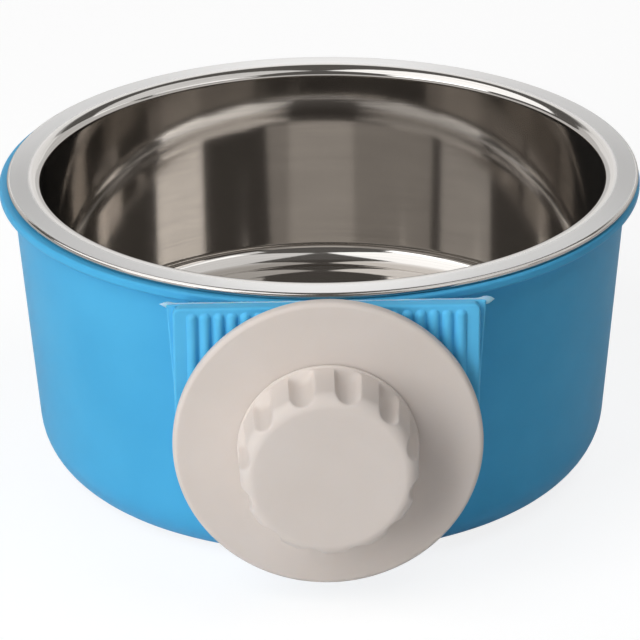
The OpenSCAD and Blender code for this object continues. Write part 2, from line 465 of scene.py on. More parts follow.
def moulded_surface_group():
    """Moulded plastic: faint flow streaks, orange peel, fine grain and stray specks."""
    found = bpy.data.node_groups.get("Moulded surface")
    if found:
        return found
    group, start, end = new_group(
        "Moulded surface",
        [("Roughness", 0.35), ("Roughness spread", 0.08), ("Grain", 1.0), ("Speck share", 0.0)],
        ["Streak", "Roughness", "Height", "Speck"],
    )
    grain_share = 0.35
    speck_scale = 70.0
    speck_radius = 0.018
    place = group.nodes.new("ShaderNodeTexCoord").outputs["Object"]
    streak = noise_node(group, place, scale=42.0, detail=3.0)
    peel = noise_node(group, place, scale=700.0, detail=1.0)
    grain = noise_node(group, place, scale=4200.0, detail=2.0)
    smudge = noise_node(group, place, scale=110.0, detail=4.0, roughness=0.6)
    feed(group, end.inputs["Streak"], contrast(group, streak))
    smudged = math_node(group, "SUBTRACT", smudge, 0.5)
    spread = math_node(group, "MULTIPLY", smudged, start.outputs["Roughness spread"])
    feed(group, end.inputs["Roughness"], math_node(group, "ADD", start.outputs["Roughness"], spread))
    faint = math_node(group, "MULTIPLY", grain, grain_share)
    fine = math_node(group, "MULTIPLY", faint, start.outputs["Grain"])
    feed(group, end.inputs["Height"], math_node(group, "ADD", peel, fine))
    cells = group.nodes.new("ShaderNodeTexVoronoi")
    feed(group, cells.inputs["Vector"], place)
    feed(group, cells.inputs["Scale"], speck_scale)
    near = math_node(group, "LESS_THAN", cells.outputs["Distance"], speck_radius)
    pick = group.nodes.new("ShaderNodeSeparateColor")
    feed(group, pick.inputs[0], cells.outputs["Color"])
    few = math_node(group, "LESS_THAN", pick.outputs[0], start.outputs["Speck share"])
    feed(group, end.inputs["Speck"], math_node(group, "MULTIPLY", near, few))
    return group


def spun_metal_group():
    """Spun metal: fine lines round the axis, up the wall and across the floor, and a satin rim."""
    found = bpy.data.node_groups.get("Spun metal")
    if found:
        return found
    group, start, end = new_group(
        "Spun metal",
        [("Roughness", 0.12), ("Roughness spread", 0.10), ("Line pitch", 0.25 * MM),
         ("Rim start", 63 * MM), ("Rim end", 68 * MM), ("Rim roughness", 0.30)],
        ["Line", "Rim", "Roughness", "Height"],
    )
    axis_guard = 0.5 * MM
    wander = 1.6
    band_stretch = 0.06
    line_share = 0.7
    rim_blend, bead_blend = 1.0 * MM, 0.3 * MM
    place = group.nodes.new("ShaderNodeTexCoord").outputs["Object"]
    split = group.nodes.new("ShaderNodeSeparateXYZ")
    feed(group, split.inputs[0], place)
    x, y, z = split.outputs
    across = math_node(group, "POWER", x, 2.0)
    radius = math_node(group, "SQRT", math_node(group, "ADD", across, math_node(group, "POWER", y, 2.0)))
    safe = math_node(group, "MAXIMUM", radius, axis_guard)
    along = math_node(group, "DIVIDE", math_node(group, "ADD", radius, z), start.outputs["Line pitch"])
    vector = group.nodes.new("ShaderNodeCombineXYZ")
    feed(group, vector.inputs[0], math_node(group, "MULTIPLY", math_node(group, "DIVIDE", x, safe), wander))
    feed(group, vector.inputs[1], math_node(group, "MULTIPLY", math_node(group, "DIVIDE", y, safe), wander))
    feed(group, vector.inputs[2], along)
    line = noise_node(group, vector.outputs[0], scale=1.0, detail=3.0, roughness=0.65)
    wide = group.nodes.new("ShaderNodeVectorMath")
    wide.operation = "MULTIPLY"
    feed(group, wide.inputs[0], vector.outputs[0])
    wide.inputs[1].default_value = (1.0, 1.0, band_stretch)
    band = noise_node(group, wide.outputs[0], scale=1.0, detail=2.0)
    fine_part = math_node(group, "MULTIPLY", line, line_share)
    wide_part = math_node(group, "MULTIPLY", band, 1 - line_share)
    mixed = math_node(group, "ADD", fine_part, wide_part)
    feed(group, end.inputs["Line"], contrast(group, mixed))
    uneven = math_node(group, "SUBTRACT", mixed, 0.5)
    spread = math_node(group, "MULTIPLY", uneven, start.outputs["Roughness spread"])
    past_start = math_node(group, "SUBTRACT", radius, start.outputs["Rim start"])
    past_end = math_node(group, "SUBTRACT", radius, start.outputs["Rim end"])
    inner_side = remap(group, past_start, 0.0, rim_blend, 0.0, 1.0)
    outer_side = remap(group, past_end, 0.0, bead_blend, 1.0, 0.0)
    rim = math_node(group, "MULTIPLY", inner_side, outer_side)
    satin = math_node(group, "MULTIPLY", rim, start.outputs["Rim roughness"])
    polished = math_node(group, "ADD", start.outputs["Roughness"], spread)
    feed(group, end.inputs["Rim"], rim)
    feed(group, end.inputs["Roughness"], math_node(group, "ADD", polished, satin))
    feed(group, end.inputs["Height"], line)
    return group


# Materials


def new_material(name):
    """An empty node material with a Principled shader."""
    material = bpy.data.materials.new(name)
    material.use_nodes = True
    tree = material.node_tree
    tree.nodes.clear()
    shader = tree.nodes.new("ShaderNodeBsdfPrincipled")
    out = tree.nodes.new("ShaderNodeOutputMaterial")
    tree.links.new(shader.outputs[0], out.inputs["Surface"])
    return material, tree, shader


def place_group(tree, group, **values):
    """A group in a material, with its own values."""
    node = tree.nodes.new("ShaderNodeGroup")
    node.node_tree = group
    for label, value in values.items():
        node.inputs[label.replace("_", " ").capitalize()].default_value = value
    return node


def mixed_colour(tree, factor, first, second):
    """A colour between two, by a factor."""
    node = tree.nodes.new("ShaderNodeMix")
    node.data_type = "RGBA"
    feed(tree, node.inputs["Factor"], factor)
    feed(tree, node.inputs[6], first)
    feed(tree, node.inputs[7], second)
    return node.outputs[2]


def bump(tree, shader, height, strength, distance):
    """Fine relief on a shader's normal."""
    node = tree.nodes.new("ShaderNodeBump")
    node.inputs["Strength"].default_value = strength
    node.inputs["Distance"].default_value = distance
    feed(tree, node.inputs["Height"], height)
    feed(tree, shader.inputs["Normal"], node.outputs[0])


def moulded_plastic(name, main, streak, roughness, speck_share=0.0, subsurface=0.0):
    """Satin moulded plastic in two close tones."""
    material, tree, shader = new_material(name)
    surface = place_group(
        tree, moulded_surface_group(), roughness=roughness, roughness_spread=0.10, speck_share=speck_share
    )
    tone = mixed_colour(tree, surface.outputs["Streak"], (*main, 1), (*streak, 1))
    speck_shade = 0.3
    speck_tone = tuple(speck_shade * part for part in main)
    tone = mixed_colour(tree, surface.outputs["Speck"], tone, (*speck_tone, 1))
    feed(tree, shader.inputs["Base Color"], tone)
    feed(tree, shader.inputs["Roughness"], surface.outputs["Roughness"])
    shader.inputs["IOR"].default_value = PLASTIC_IOR
    shader.inputs["Specular IOR Level"].default_value = 0.10
    shader.inputs["Subsurface Weight"].default_value = subsurface
    shader.inputs["Subsurface Radius"].default_value = (1.0, 0.85, 0.7)
    shader.inputs["Subsurface Scale"].default_value = 1.8 * MM
    bump(tree, shader, surface.outputs["Height"], strength=0.12, distance=0.05 * MM)
    return material


def spun_steel(name, main, dark, satin, rim_start, rim_end):
    """Spun stainless steel, smeared across its lines, with a satin rim whose paler tone is painted sheen."""
    material, tree, shader = new_material(name)
    surface = place_group(
        tree, spun_metal_group(), roughness=0.06, roughness_spread=0.05, line_pitch=0.25 * MM,
        rim_start=rim_start, rim_end=rim_end, rim_roughness=0.26,
    )
    tone = mixed_colour(tree, surface.outputs["Line"], (*main, 1), (*dark, 1))
    # The rim's paler tone is painted sheen; its satin roughness comes from the group
    tone = mixed_colour(tree, surface.outputs["Rim"], tone, (*satin, 1))
    feed(tree, shader.inputs["Base Color"], tone)
    feed(tree, shader.inputs["Roughness"], surface.outputs["Roughness"])
    shader.inputs["Metallic"].default_value = 0.985
    shader.inputs["Anisotropic"].default_value = 0.8
    tangent = tree.nodes.new("ShaderNodeTangent")
    tangent.direction_type = "RADIAL"
    tangent.axis = "Z"
    feed(tree, shader.inputs["Tangent"], tangent.outputs[0])
    bump(tree, shader, surface.outputs["Height"], strength=0.05, distance=0.02 * MM)
    return material


def squeezed_plastic(name, main):
    """Pale, slightly clear plastic that was squeezed out of a weld."""
    material, tree, shader = new_material(name)
    surface = place_group(tree, moulded_surface_group(), roughness=0.3, roughness_spread=0.2, grain=1.5)
    paler = 1.25
    pale = tuple(min(1.0, paler * part) for part in main)
    tone = mixed_colour(tree, surface.outputs["Streak"], (*main, 1), (*pale, 1))
    feed(tree, shader.inputs["Base Color"], tone)
    feed(tree, shader.inputs["Roughness"], surface.outputs["Roughness"])
    shader.inputs["IOR"].default_value = PLASTIC_IOR
    shader.inputs["Transmission Weight"].default_value = 0.25
    shader.inputs["Subsurface Weight"].default_value = 0.5
    shader.inputs["Subsurface Scale"].default_value = 0.8 * MM
    bump(tree, shader, surface.outputs["Height"], strength=0.3, distance=0.1 * MM)
    return material


# Pieces


def outer_profile(size):
    """Closed outline of the outer bowl, from the foot's centre over the lip to the floor's centre."""
    lip_low = size.height - size.lip_height
    wall = size.lip_radius - size.overhang
    lean = math.degrees(size.taper)
    outside = corner_centre(wall, lip_low, 0, size.corner, size.taper)
    inner_corner = size.corner - size.wall
    inner_wall = wall - size.wall
    inside = corner_centre(inner_wall, lip_low, size.floor, inner_corner, size.taper)
    inner_top = inner_wall + (size.height - lip_low) * math.tan(size.taper)
    edge = size.lip_round
    fillet = size.lip_fillet
    return (
        [(0, 0), (outside[0] / 2, 0)]
        + arc(outside, size.corner, -90, -lean)
        + arc((wall + fillet, lip_low - fillet), fillet, 180, 90)
        + arc((size.lip_radius - edge, lip_low + edge), edge, -90, 0)
        + arc((size.lip_radius - edge, size.height - edge), edge, 0, 90)
        + arc((inner_top + edge, size.height - edge), edge, 90, 180 - lean)
        + arc(inside, inner_corner, -lean, -90)
        + [(inside[0] / 2, size.floor), (0, size.floor)]
    )


def wall_reach(size, height):
    """Outside radius of the bowl's wall at a height."""
    wall = size.lip_radius - size.overhang
    lip_low = size.height - size.lip_height
    centre_x, centre_z = corner_centre(wall, lip_low, 0, size.corner, size.taper)
    if height < centre_z - size.corner * math.sin(size.taper):
        return centre_x + math.sqrt(size.corner**2 - (centre_z - height) ** 2)
    return wall - (lip_low - height) * math.tan(size.taper)


def arched_ring(half, top, corner_points=24, end_points=48):
    """Outline with straight sides and a half-round lower end about the origin, as (x, y) points."""
    lower = [(half * math.cos(t), half * math.sin(t)) for t in spaced(math.pi, 2 * math.pi, end_points)]
    right = [(half, y) for y in spaced(0, top, corner_points)[1:]]
    upper = [(x, top) for x in spaced(half, -half, corner_points)[1:]]
    left = [(-half, y) for y in spaced(top, 0, corner_points)[1:-1]]
    return lower + right + upper + left


def boss_shape(size, plate):
    """Boss that reaches from inside the bowl's wall to the back of the plate, with a fillet at the wall."""
    sunk = size.wall / 2
    outline = arched_ring(size.boss_half, size.boss_top)
    centre = Vector((0, size.boss_top - size.boss_half)) / 2

    def wall_depth(x, y):
        reach = wall_reach(size, y + AXIS_HEIGHT)
        return math.sqrt(reach * reach - x * x)

    def grown(x, y, offset):
        away = Vector((x, y)) - centre
        out = away * (1 + offset / away.length)
        return out.x, out.y

    rings = []
    for share in spaced(0.1, 0.9, 8):
        scaled = [(centre.x + (x - centre.x) * share, centre.y + (y - centre.y) * share) for x, y in outline]
        rings.append([(x, y, wall_depth(x, y) - sunk) for x, y in scaled])
    fillet = size.boss_fillet
    rings.append([(*grown(x, y, fillet), wall_depth(x, y) - sunk) for x, y in outline])
    for turn in spaced(0, math.pi / 2, 8):
        offset = fillet * (1 - math.sin(turn))
        rise = fillet * (1 - math.cos(turn))
        ring = []
        for x, y in outline:
            out_x, out_y = grown(x, y, offset)
            ring.append((out_x, out_y, min(plate.back, wall_depth(out_x, out_y) + rise)))
        rings.append(ring)
    rings.append([(x, y, plate.back) for x, y in outline])
    return stacked(rings)


def insert_profile(size):
    """Closed outline of the steel insert, from the floor's centre over the rolled rim and back below."""
    lean = math.degrees(size.taper)
    corner_step, round_step = math.radians(1.5), math.radians(3)
    round_centre = (size.mouth_radius + size.rim_round, size.rim_height - size.rim_round)
    foot = corner_centre(size.mouth_radius, round_centre[1], size.floor_height, size.corner, size.taper)
    bead_centre = (size.rim_radius - size.bead, size.rim_height - size.bead)
    bead_end = -180 - math.degrees(math.asin((size.bead - size.sheet) / size.bead))
    low = size.floor_height - size.sheet
    return (
        [(0, size.floor_height)]
        + [(foot[0] * share, size.floor_height) for share in spaced(0.1, 0.9, 8)]
        + arc(foot, size.corner, -90, -lean, corner_step)
        + arc(round_centre, size.rim_round, 180 - lean, 90, round_step)
        + arc(bead_centre, size.bead, 90, bead_end, FINE_STEP)
        + arc(round_centre, size.rim_round - size.sheet, 90, 180 - lean)
        + arc(foot, size.corner + size.sheet, -lean, -90)
        + [(foot[0] / 2, low), (0, low)]
    )


def plate_depth(size, x, y):
    """Distance of a point of the plate's face from the face's outline."""
    if y < 0:
        return size.half_width - math.hypot(x, y)
    past_x = abs(x) - (size.half_width - size.corner)
    past_y = y - (size.top - size.corner)
    if past_x > 0 and past_y > 0:
        return size.corner - math.hypot(past_x, past_y)
    return min(size.half_width - abs(x), size.top - y)


def rib_rise(size, x, y):
    """How far the ribs stand out of the plate's face at a point."""
    half_count = (size.ribs - 1) / 2
    index = min(half_count, max(-half_count, round(x / size.rib_pitch + half_count) - half_count))
    middle = index * size.rib_pitch
    low = size.rib_radius - math.sqrt((size.half_width - size.rib_margin) ** 2 - middle**2)
    high = size.top - size.rib_gap_top - size.rib_radius
    away = math.hypot(x - middle, y - min(high, max(low, y)))
    sink = size.rib_radius - size.rib_height
    round_part = math.sqrt(max(0.0, size.rib_radius**2 - away**2)) - sink
    round_part -= max(0.0, away - size.rib_radius)
    blend = 0.3 * MM
    rise = soft_max(round_part, 0.0, blend)
    return rise * smooth(size.land - blend, size.land + blend, math.hypot(x, y))


def grid_border(wide, tall):
    """Indices round the outside of a grid of points that is stored column by column."""
    border = [i * tall for i in range(wide)]
    border += [(wide - 1) * tall + j for j in range(1, tall)]
    border += [i * tall + tall - 1 for i in range(wide - 2, -1, -1)]
    border += list(range(tall - 2, 0, -1))
    return border


def plate_shape(size):
    """Ribbed plate: a fine relief in front, stepped sides with a wider back flange, and a flat back."""
    columns_across, rows_up = 280, 60
    # Points crowd towards the outline, where the edge is rounded
    edge_gaps = [gap * MM for gap in (0, 0.04, 0.1, 0.18, 0.28, 0.4, 0.55)]
    end_gaps = edge_gaps + [gap * MM for gap in spaced(0.75, 3.75, 15)]
    inner = size.half_width - edge_gaps[-1]
    columns = [gap - size.half_width for gap in edge_gaps[:-1]] + spaced(-inner, inner, columns_across)
    columns += [size.half_width - gap for gap in reversed(edge_gaps[:-1])]
    grid = []
    for x in columns:
        low = -math.sqrt(max(0.0, size.half_width**2 - x * x))
        past = max(0.0, abs(x) - (size.half_width - size.corner))
        high = size.top - size.corner + math.sqrt(max(0.0, size.corner**2 - past * past))
        middle = spaced(low + end_gaps[-1], high - end_gaps[-1], rows_up)[1:-1]
        rows = [low + gap for gap in end_gaps] + middle + [high - gap for gap in reversed(end_gaps)]
        column = []
        for y in rows:
            short = max(0.0, size.edge - max(0.0, plate_depth(size, x, y)))
            drop = size.edge - math.sqrt(size.edge**2 - short**2)
            column.append((x, y, size.face - drop + rib_rise(size, x, y)))
        grid.append(column)
    wide, tall = len(grid), len(grid[0])
    verts = [point for column in grid for point in column]
    faces = []
    for i in range(wide - 1):
        for j in range(tall - 1):
            first, second = i * tall + j, (i + 1) * tall + j
            faces.append([first, second, second + 1, first + 1])
    border = grid_border(wide, tall)
    flange_face = size.back + size.flange
    step_round = 0.25 * MM
    levels = [
        [(verts[i][0], verts[i][1], flange_face) for i in border],
        [flange_point(size, verts[i], step_round, flange_face) for i in border],
        [flange_point(size, verts[i], 0.0, flange_face - step_round) for i in border],
        [flange_point(size, verts[i], 0.0, size.back) for i in border],
    ]
    upper = border
    for level in levels:
        lower = list(range(len(verts), len(verts) + len(level)))
        verts.extend(level)
        for step in range(len(level)):
            after = (step + 1) % len(level)
            faces.append([upper[step], upper[after], lower[after], lower[step]])
        upper = lower
    faces.append(upper)
    return verts, faces


def flange_point(size, point, inset, depth):
    """A point of the plate's outline moved out to the flange's square-cornered outline."""
    x, y = point[0], point[1]
    past_x = abs(x) - (size.half_width - size.corner)
    past_y = y - (size.top - size.corner)
    if past_x > 0 and past_y > 0:
        stretch = size.corner / max(past_x, past_y)
        x = math.copysign(size.half_width - size.corner + past_x * stretch, x)
        y = size.top - size.corner + past_y * stretch
    share = min(1.0, max(0.0, (y - size.flange_end) / (size.top - size.flange_end)))
    out = size.flange_side * share - min(inset, size.flange_side * share)
    x += math.copysign(out * min(1.0, abs(x) / size.half_width), x)
    y = min(y, size.top - inset)
    return x, y, depth


def hole_shape(radius, start, end):
    """A round bar along Z, used to cut a hole."""
    return turned([(0, start), (radius, start), (radius, end), (0, end)], HOLE_SEGMENTS)


def box_shape(half, start, end):
    """A square bar along Z, used to cut a pocket."""
    square = [(-half, -half), (half, -half), (half, half), (-half, half)]
    return stacked([[(x, y, start) for x, y in square], [(x, y, end) for x, y in square]])


def rounded_square(half, corner, steps=6):
    """Outline of a square with rounded corners."""
    points = []
    for quarter, (sx, sy) in enumerate(((1, 1), (-1, 1), (-1, -1), (1, -1))):
        middle = (sx * (half - corner), sy * (half - corner))
        points += arc(middle, corner, 90 * quarter, 90 * quarter + 90, math.radians(90 / steps))
    return points


def bolt_head_shape(half, start, end):
    """Square head with rounded corners and eased edges."""
    ease = 0.5 * MM
    corner = 1.2 * MM
    inner = rounded_square(half - ease, corner - ease)
    outer = rounded_square(half, corner)
    levels = [(inner, start), (outer, start + ease), (outer, end - ease), (inner, end)]
    return stacked([[(x, y, depth) for x, y in ring] for ring, depth in levels])


def bolt_shank_shape(size, start, thread_start, end):
    """Shank with a coarse right-hand thread of flat crests and sloping sides."""
    chamfer = 1.0 * MM
    run_in = 1.5 * MM
    flank_start, flank_end = 0.10, 0.32
    levels = 150
    root = size.bolt_radius - size.thread_depth
    tip, tip_flat = 0.9 * root, 0.6 * root
    depths = spaced(thread_start, end, levels)

    def thread(radius, depth, turn):
        phase = ((depth - thread_start) / size.thread_pitch - turn / (2 * math.pi)) % 1.0
        side = smooth(flank_start, flank_end, abs(phase - 0.5))
        cut = smooth(thread_start, thread_start + run_in, depth)
        reach = size.bolt_radius - size.thread_depth * (1 - side) * cut
        limit = size.bolt_radius - max(0.0, depth - (end - chamfer))
        return min(radius, reach, max(tip, limit))

    profile = [(0, start), (size.bolt_radius, start)]
    profile += [(size.bolt_radius, depth) for depth in depths]
    profile += [(tip_flat, end), (0, end)]
    return turned(profile, THREAD_SEGMENTS, thread)


def disc_profile(size, back, front):
    """Closed outline of the disc: flat back, rounded edge, and a face that rises softly towards the hole."""
    edge = size.disc_edge
    rim_front = back + size.disc_rim
    face_start = size.disc_radius - edge
    ease = 0.3 * MM
    radii = spaced(face_start, size.disc_flat, 24)[1:]
    face = [
        (r, rim_front + (front - rim_front) * smooth(0, 1, (face_start - r) / (face_start - size.disc_flat)))
        for r in radii
    ]
    return (
        [(size.disc_hole, back + ease), (size.disc_hole + ease, back)]
        + arc((size.disc_radius - edge, back + edge), edge, -90, 0)
        + arc((size.disc_radius - edge, rim_front - edge), edge, 0, 90)
        + face
        + [(size.disc_hole + ease, front), (size.disc_hole, front - ease)]
    )


def knob_shape(size, back, front):
    """Fluted knob: flat face, rounded edge, tapered lobes on a round skirt, hollow back with a hub."""
    ease = 0.5 * MM
    recess = front - size.knob_face
    skirt_top = back + size.skirt_height
    side_top = front - size.knob_edge
    flute_axis = size.flute_floor + size.flute_radius
    step = 2 * math.pi / size.flutes
    side = []
    for share in spaced(0, 1, 36):
        reach = size.lobe_back + (size.lobe_front - size.lobe_back) * share
        side.append((reach, skirt_top + (side_top - skirt_top) * share))

    def fluted(radius, depth, turn):
        if radius < size.flute_floor - 2 * size.flute_blend or depth < skirt_top:
            return radius
        # A flute's middle lies half a step from the lowest lobe
        off = (turn + math.pi / 2 - size.knob_rest) % step - step / 2
        across = flute_axis * math.sin(off)
        if abs(across) >= size.flute_radius:
            floor = flute_axis
        else:
            floor = flute_axis * math.cos(off) - math.sqrt(size.flute_radius**2 - across**2)
        # The flute's back end is round, as a ball-nosed cutter leaves it
        short = max(0.0, 1 - (depth - skirt_top) / size.flute_radius)
        floor = flute_axis - (flute_axis - floor) * math.sqrt(max(0.0, 1 - short * short))
        return soft_min(radius, floor, size.flute_blend)

    profile = (
        [(0, front)]
        + [((size.lobe_front - size.knob_edge) * share, front) for share in (0.4, 0.8, 0.95)]
        + list(reversed(arc((size.lobe_front - size.knob_edge, side_top), size.knob_edge, 0, 90, FINE_STEP)))
        + list(reversed(side[:-1]))
        + arc((size.skirt_radius - ease, skirt_top - ease), ease, 60, 0)
        + arc((size.skirt_radius - ease, back + ease), ease, 0, -90)
        + [(size.knob_wall, back), (size.knob_wall, recess), (size.knob_hub, recess), (size.knob_hub, back)]
        + [(size.knob_bore, back), (size.knob_bore, recess), (0, recess)]
    )
    return turned(profile, size.flutes * FLUTE_SEGMENTS, fluted)


def flash_shape(size):
    """Ragged bead of plastic squeezed out along the flange's top, with a blob at each end."""
    half = size.half_width + size.flange_side
    left_end, right_end = -half - 1.4 * MM, half + 1.7 * MM
    left_blob, right_blob = 0.2 * MM - half, half + 0.1 * MM
    left_width, right_width = 1.0 * MM, 1.2 * MM
    fade = 0.8 * MM
    seat = 0.25 * MM
    steps, sides = 240, 12
    rings = []
    for x in spaced(left_end, right_end, steps):
        ragged = noise.noise(Vector((x / MM * 1.7, 3.1, 0.0)))
        coarse = noise.noise(Vector((x / MM * 0.45, 8.7, 0.0)))
        left = bell(x, left_blob, left_width)
        right = bell(x, right_blob, right_width)
        tall = (0.16 + 0.14 * max(0.0, ragged) + 0.10 * max(0.0, coarse)) * MM
        tall += (0.75 * right + 0.45 * left) * MM
        deep = (0.22 + 0.30 * right + 0.25 * left) * MM
        lift = size.top - (0.25 * right + 0.2 * left) * MM
        end = math.sqrt(max(0.02, min(1.0, (right_end - x) / fade, (x - left_end) / fade)))
        ring = []
        for turn in spaced(0, 2 * math.pi, sides)[:-1]:
            y = lift + tall * end * math.sin(turn)
            ring.append((x, y, size.back + seat + deep * end * math.cos(turn)))
        rings.append(ring)
    return stacked(rings)


# Stage


def direction(azimuth, elevation):
    """Unit vector away from the bowl; an azimuth of 0 is in front and grows to the right."""
    level = math.cos(elevation)
    return Vector((math.sin(azimuth) * level, -math.cos(azimuth) * level, math.sin(elevation)))


def add_camera(scene, settings):
    """The camera at the photo's viewing angle."""
    camera = bpy.data.objects.new("camera", bpy.data.cameras.new("camera"))
    scene.collection.objects.link(camera)
    camera.data.sensor_width = 36
    camera.data.lens = settings.focal
    camera.data.clip_start = 0.05
    camera.data.clip_end = 50
    back = direction(settings.azimuth, settings.elevation)
    place = Vector(settings.target) + back * settings.distance
    turn = back.to_track_quat("Z", "Y").to_matrix() @ Matrix.Rotation(settings.roll, 3, "Z")
    camera.matrix_world = Matrix.Translation(place) @ turn.to_4x4()
    scene.camera = camera


def add_softbox(name, power, azimuth, elevation, size, distance=LAMP_DISTANCE):
    """A rectangular softbox that faces the bowl, at angles in degrees; it lights but isn't mirrored."""
    lamp = bpy.data.lights.new(name, "AREA")
    lamp.shape = "RECTANGLE"
    lamp.size, lamp.size_y = size
    lamp.energy = power
    box = bpy.data.objects.new(name, lamp)
    bpy.context.scene.collection.objects.link(box)
    away = direction(math.radians(azimuth), math.radians(elevation))
    box.location = BOWL_MIDDLE + away * distance
    box.rotation_euler = away.to_track_quat("Z", "Y").to_euler()
    box.visible_camera = False
    box.visible_glossy = False
    return box


def add_card(name, brightness, azimuth, elevation, size, distance=LAMP_DISTANCE):
    """A white card that shows only in reflections; a brightness of 1 is white."""
    power = brightness * math.pi * size[0] * size[1]
    card = add_softbox(name, power, azimuth, elevation, size, distance)
    card.data.color = CARD_TINT
    card.visible_glossy = True
    card.visible_diffuse = False


def add_room(scene, brightness, mirrored):
    """Dim, even light of the room, brighter in reflections."""
    world = bpy.data.worlds.new("room")
    world.use_nodes = True
    tree = world.node_tree
    room = tree.nodes["Background"]
    room.inputs["Color"].default_value = ROOM_TINT
    path = tree.nodes.new("ShaderNodeLightPath")
    level = math_node(tree, "MULTIPLY_ADD", path.outputs["Is Glossy Ray"], mirrored - brightness, brightness)
    feed(tree, room.inputs["Strength"], level)
    scene.world = world


def add_sweep(settings):
    """A pale floor that curves up into a wall all round, higher behind the bowl and to its right."""
    radius = 2.6
    cove = 0.4
    inner = 0.3
    front_wall, back_wall = 0.7, 1.6
    highest = math.radians(65)
    rise_start, rise_end = 0.2, 0.5

    def ring(reach, height):
        turns = spaced(0, 2 * math.pi, SWEEP_SEGMENTS)[:-1]
        return [(reach * math.cos(turn), reach * math.sin(turn), height) for turn in turns]

    def wall_top(x, y):
        share = smooth(rise_start, rise_end, math.cos(math.atan2(y, x) - highest))
        return front_wall + (back_wall - front_wall) * share

    floor = [ring(inner, 0), ring(radius - cove, 0)]
    wall = [ring(*point) for point in arc((radius - cove, cove), cove, -90, 0)]
    wall.append([(x, y, wall_top(x, y)) for x, y, _ in ring(radius, 0)])
    add_paper("floor", stacked(floor, True, False), settings, settings.mirrored_floor)
    add_paper("backdrop", stacked(wall, False, False), settings, settings.mirrored_wall)


def add_paper(name, shape, settings, mirrored):
    """A sheet of pale paper, lifted to white for the camera, with a share of plain white in reflections."""
    mesh = bpy.data.meshes.new(name)
    mesh.from_pydata(shape[0], [], shape[1])
    mesh.shade_smooth()
    sheet = bpy.data.objects.new(name, mesh)
    bpy.context.scene.collection.objects.link(sheet)
    material = bpy.data.materials.new(name + "_paper")
    material.use_nodes = True
    tree = material.node_tree
    tree.nodes.clear()
    paper = tree.nodes.new("ShaderNodeBsdfDiffuse")
    plain = tree.nodes.new("ShaderNodeEmission")
    plain.inputs["Color"].default_value = (1, 1, 1, 1)
    plain.inputs["Strength"].default_value = 1.0
    path = tree.nodes.new("ShaderNodeLightPath")
    lifted = math_node(tree, "MULTIPLY", path.outputs["Is Camera Ray"], settings.lift - 1)
    feed(tree, paper.inputs["Color"], math_node(tree, "MULTIPLY_ADD", lifted, PAPER_TONE, PAPER_TONE))
    seen = math_node(tree, "MAXIMUM", path.outputs["Is Camera Ray"], path.outputs["Is Transmission Ray"])
    shown = math_node(tree, "MULTIPLY", seen, settings.white)
    gloss = math_node(tree, "MULTIPLY", path.outputs["Is Glossy Ray"], mirrored)
    mix = tree.nodes.new("ShaderNodeMixShader")
    feed(tree, mix.inputs[0], math_node(tree, "MAXIMUM", shown, gloss))
    feed(tree, mix.inputs[1], paper.outputs[0])
    feed(tree, mix.inputs[2], plain.outputs[0])
    out = tree.nodes.new("ShaderNodeOutputMaterial")
    feed(tree, out.inputs["Surface"], mix.outputs[0])
    mesh.materials.append(material)


# Operators


class CAGEBOWL_OT_outer_bowl(bpy.types.Operator):
    """Build the moulded outer bowl and its boss"""

    bl_idname = "cagebowl.outer_bowl"
    bl_label = "Outer bowl"

    def execute(self, context):
        settings = context.scene.cage_bowl
        size = settings.outer
        plate = settings.plate
        clamp = settings.clamp
        finish = settings.finish
        clearance = 0.1 * MM
        past = 5 * MM
        blue = moulded_plastic("bowl_plastic", finish.bowl_blue, finish.bowl_blue_deep, roughness=0.36)

        def flat_on_lip(radius, height, turn):
            """The bowl's radius, cut flat where it would reach past the plate's back."""
            front = -radius * math.sin(turn)
            return radius if front <= plate.back else radius * plate.back / front

        shell = turned(outer_profile(size), MOULDED_SEGMENTS, flat_on_lip)
        bowl = new_piece("outer_bowl_shell", shell, BOWL_FRAME)
        dress(bowl, "bowl", "outer_bowl", blue, "outer_bowl")
        boss = new_piece("outer_bowl_boss", boss_shape(size, plate), CLAMP_FRAME)
        pocket = box_shape(clamp.head_half + clearance, plate.back - clamp.head_thick, plate.back + past)
        carve(boss, new_piece("pocket", pocket, CLAMP_FRAME))
        dress(boss, "bowl", "outer_bowl", blue)
        return {"FINISHED"}


class CAGEBOWL_OT_steel_insert(bpy.types.Operator):
    """Build the spun steel insert"""

    bl_idname = "cagebowl.steel_insert"
    bl_label = "Steel insert"

    def execute(self, context):
        settings = context.scene.cage_bowl
        size = settings.insert
        finish = settings.finish
        rim_start = size.mouth_radius + size.rim_round
        rim_end = size.rim_radius - size.bead
        steel = spun_steel(
            "spun_steel", finish.steel, finish.steel_dark, finish.steel_satin_painted_sheen, rim_start, rim_end
        )
        insert = new_piece("steel_insert", turned(insert_profile(size), STEEL_SEGMENTS), INSERT_FRAME)
        dress(insert, "insert", "steel_bowl", steel, "steel_bowl")
        return {"FINISHED"}


class CAGEBOWL_OT_mount_plate(bpy.types.Operator):
    """Build the ribbed plate and the flash along its top"""

    bl_idname = "cagebowl.mount_plate"
    bl_label = "Ribbed plate"

    def execute(self, context):
        settings = context.scene.cage_bowl
        size = settings.plate
        finish = settings.finish
        blue = moulded_plastic(
            "plate_plastic", finish.plate_blue, finish.plate_blue_deep, roughness=0.33, subsurface=0.15
        )
        plate = new_piece("ribbed_plate", plate_shape(size), CLAMP_FRAME)
        past_back, past_face = 1 * MM, 3 * MM
        hole = hole_shape(size.hole, size.back - past_back, size.face + past_face)
        carve(plate, new_piece("hole", hole, CLAMP_FRAME))
        dress(plate, "bowl", "mount_plate", blue, "mount_plate")
        flash = new_piece("weld_flash", flash_shape(size), CLAMP_FRAME)
        dress(flash, "bowl", "mount_plate", squeezed_plastic("flash_plastic", finish.flash))
        return {"FINISHED"}


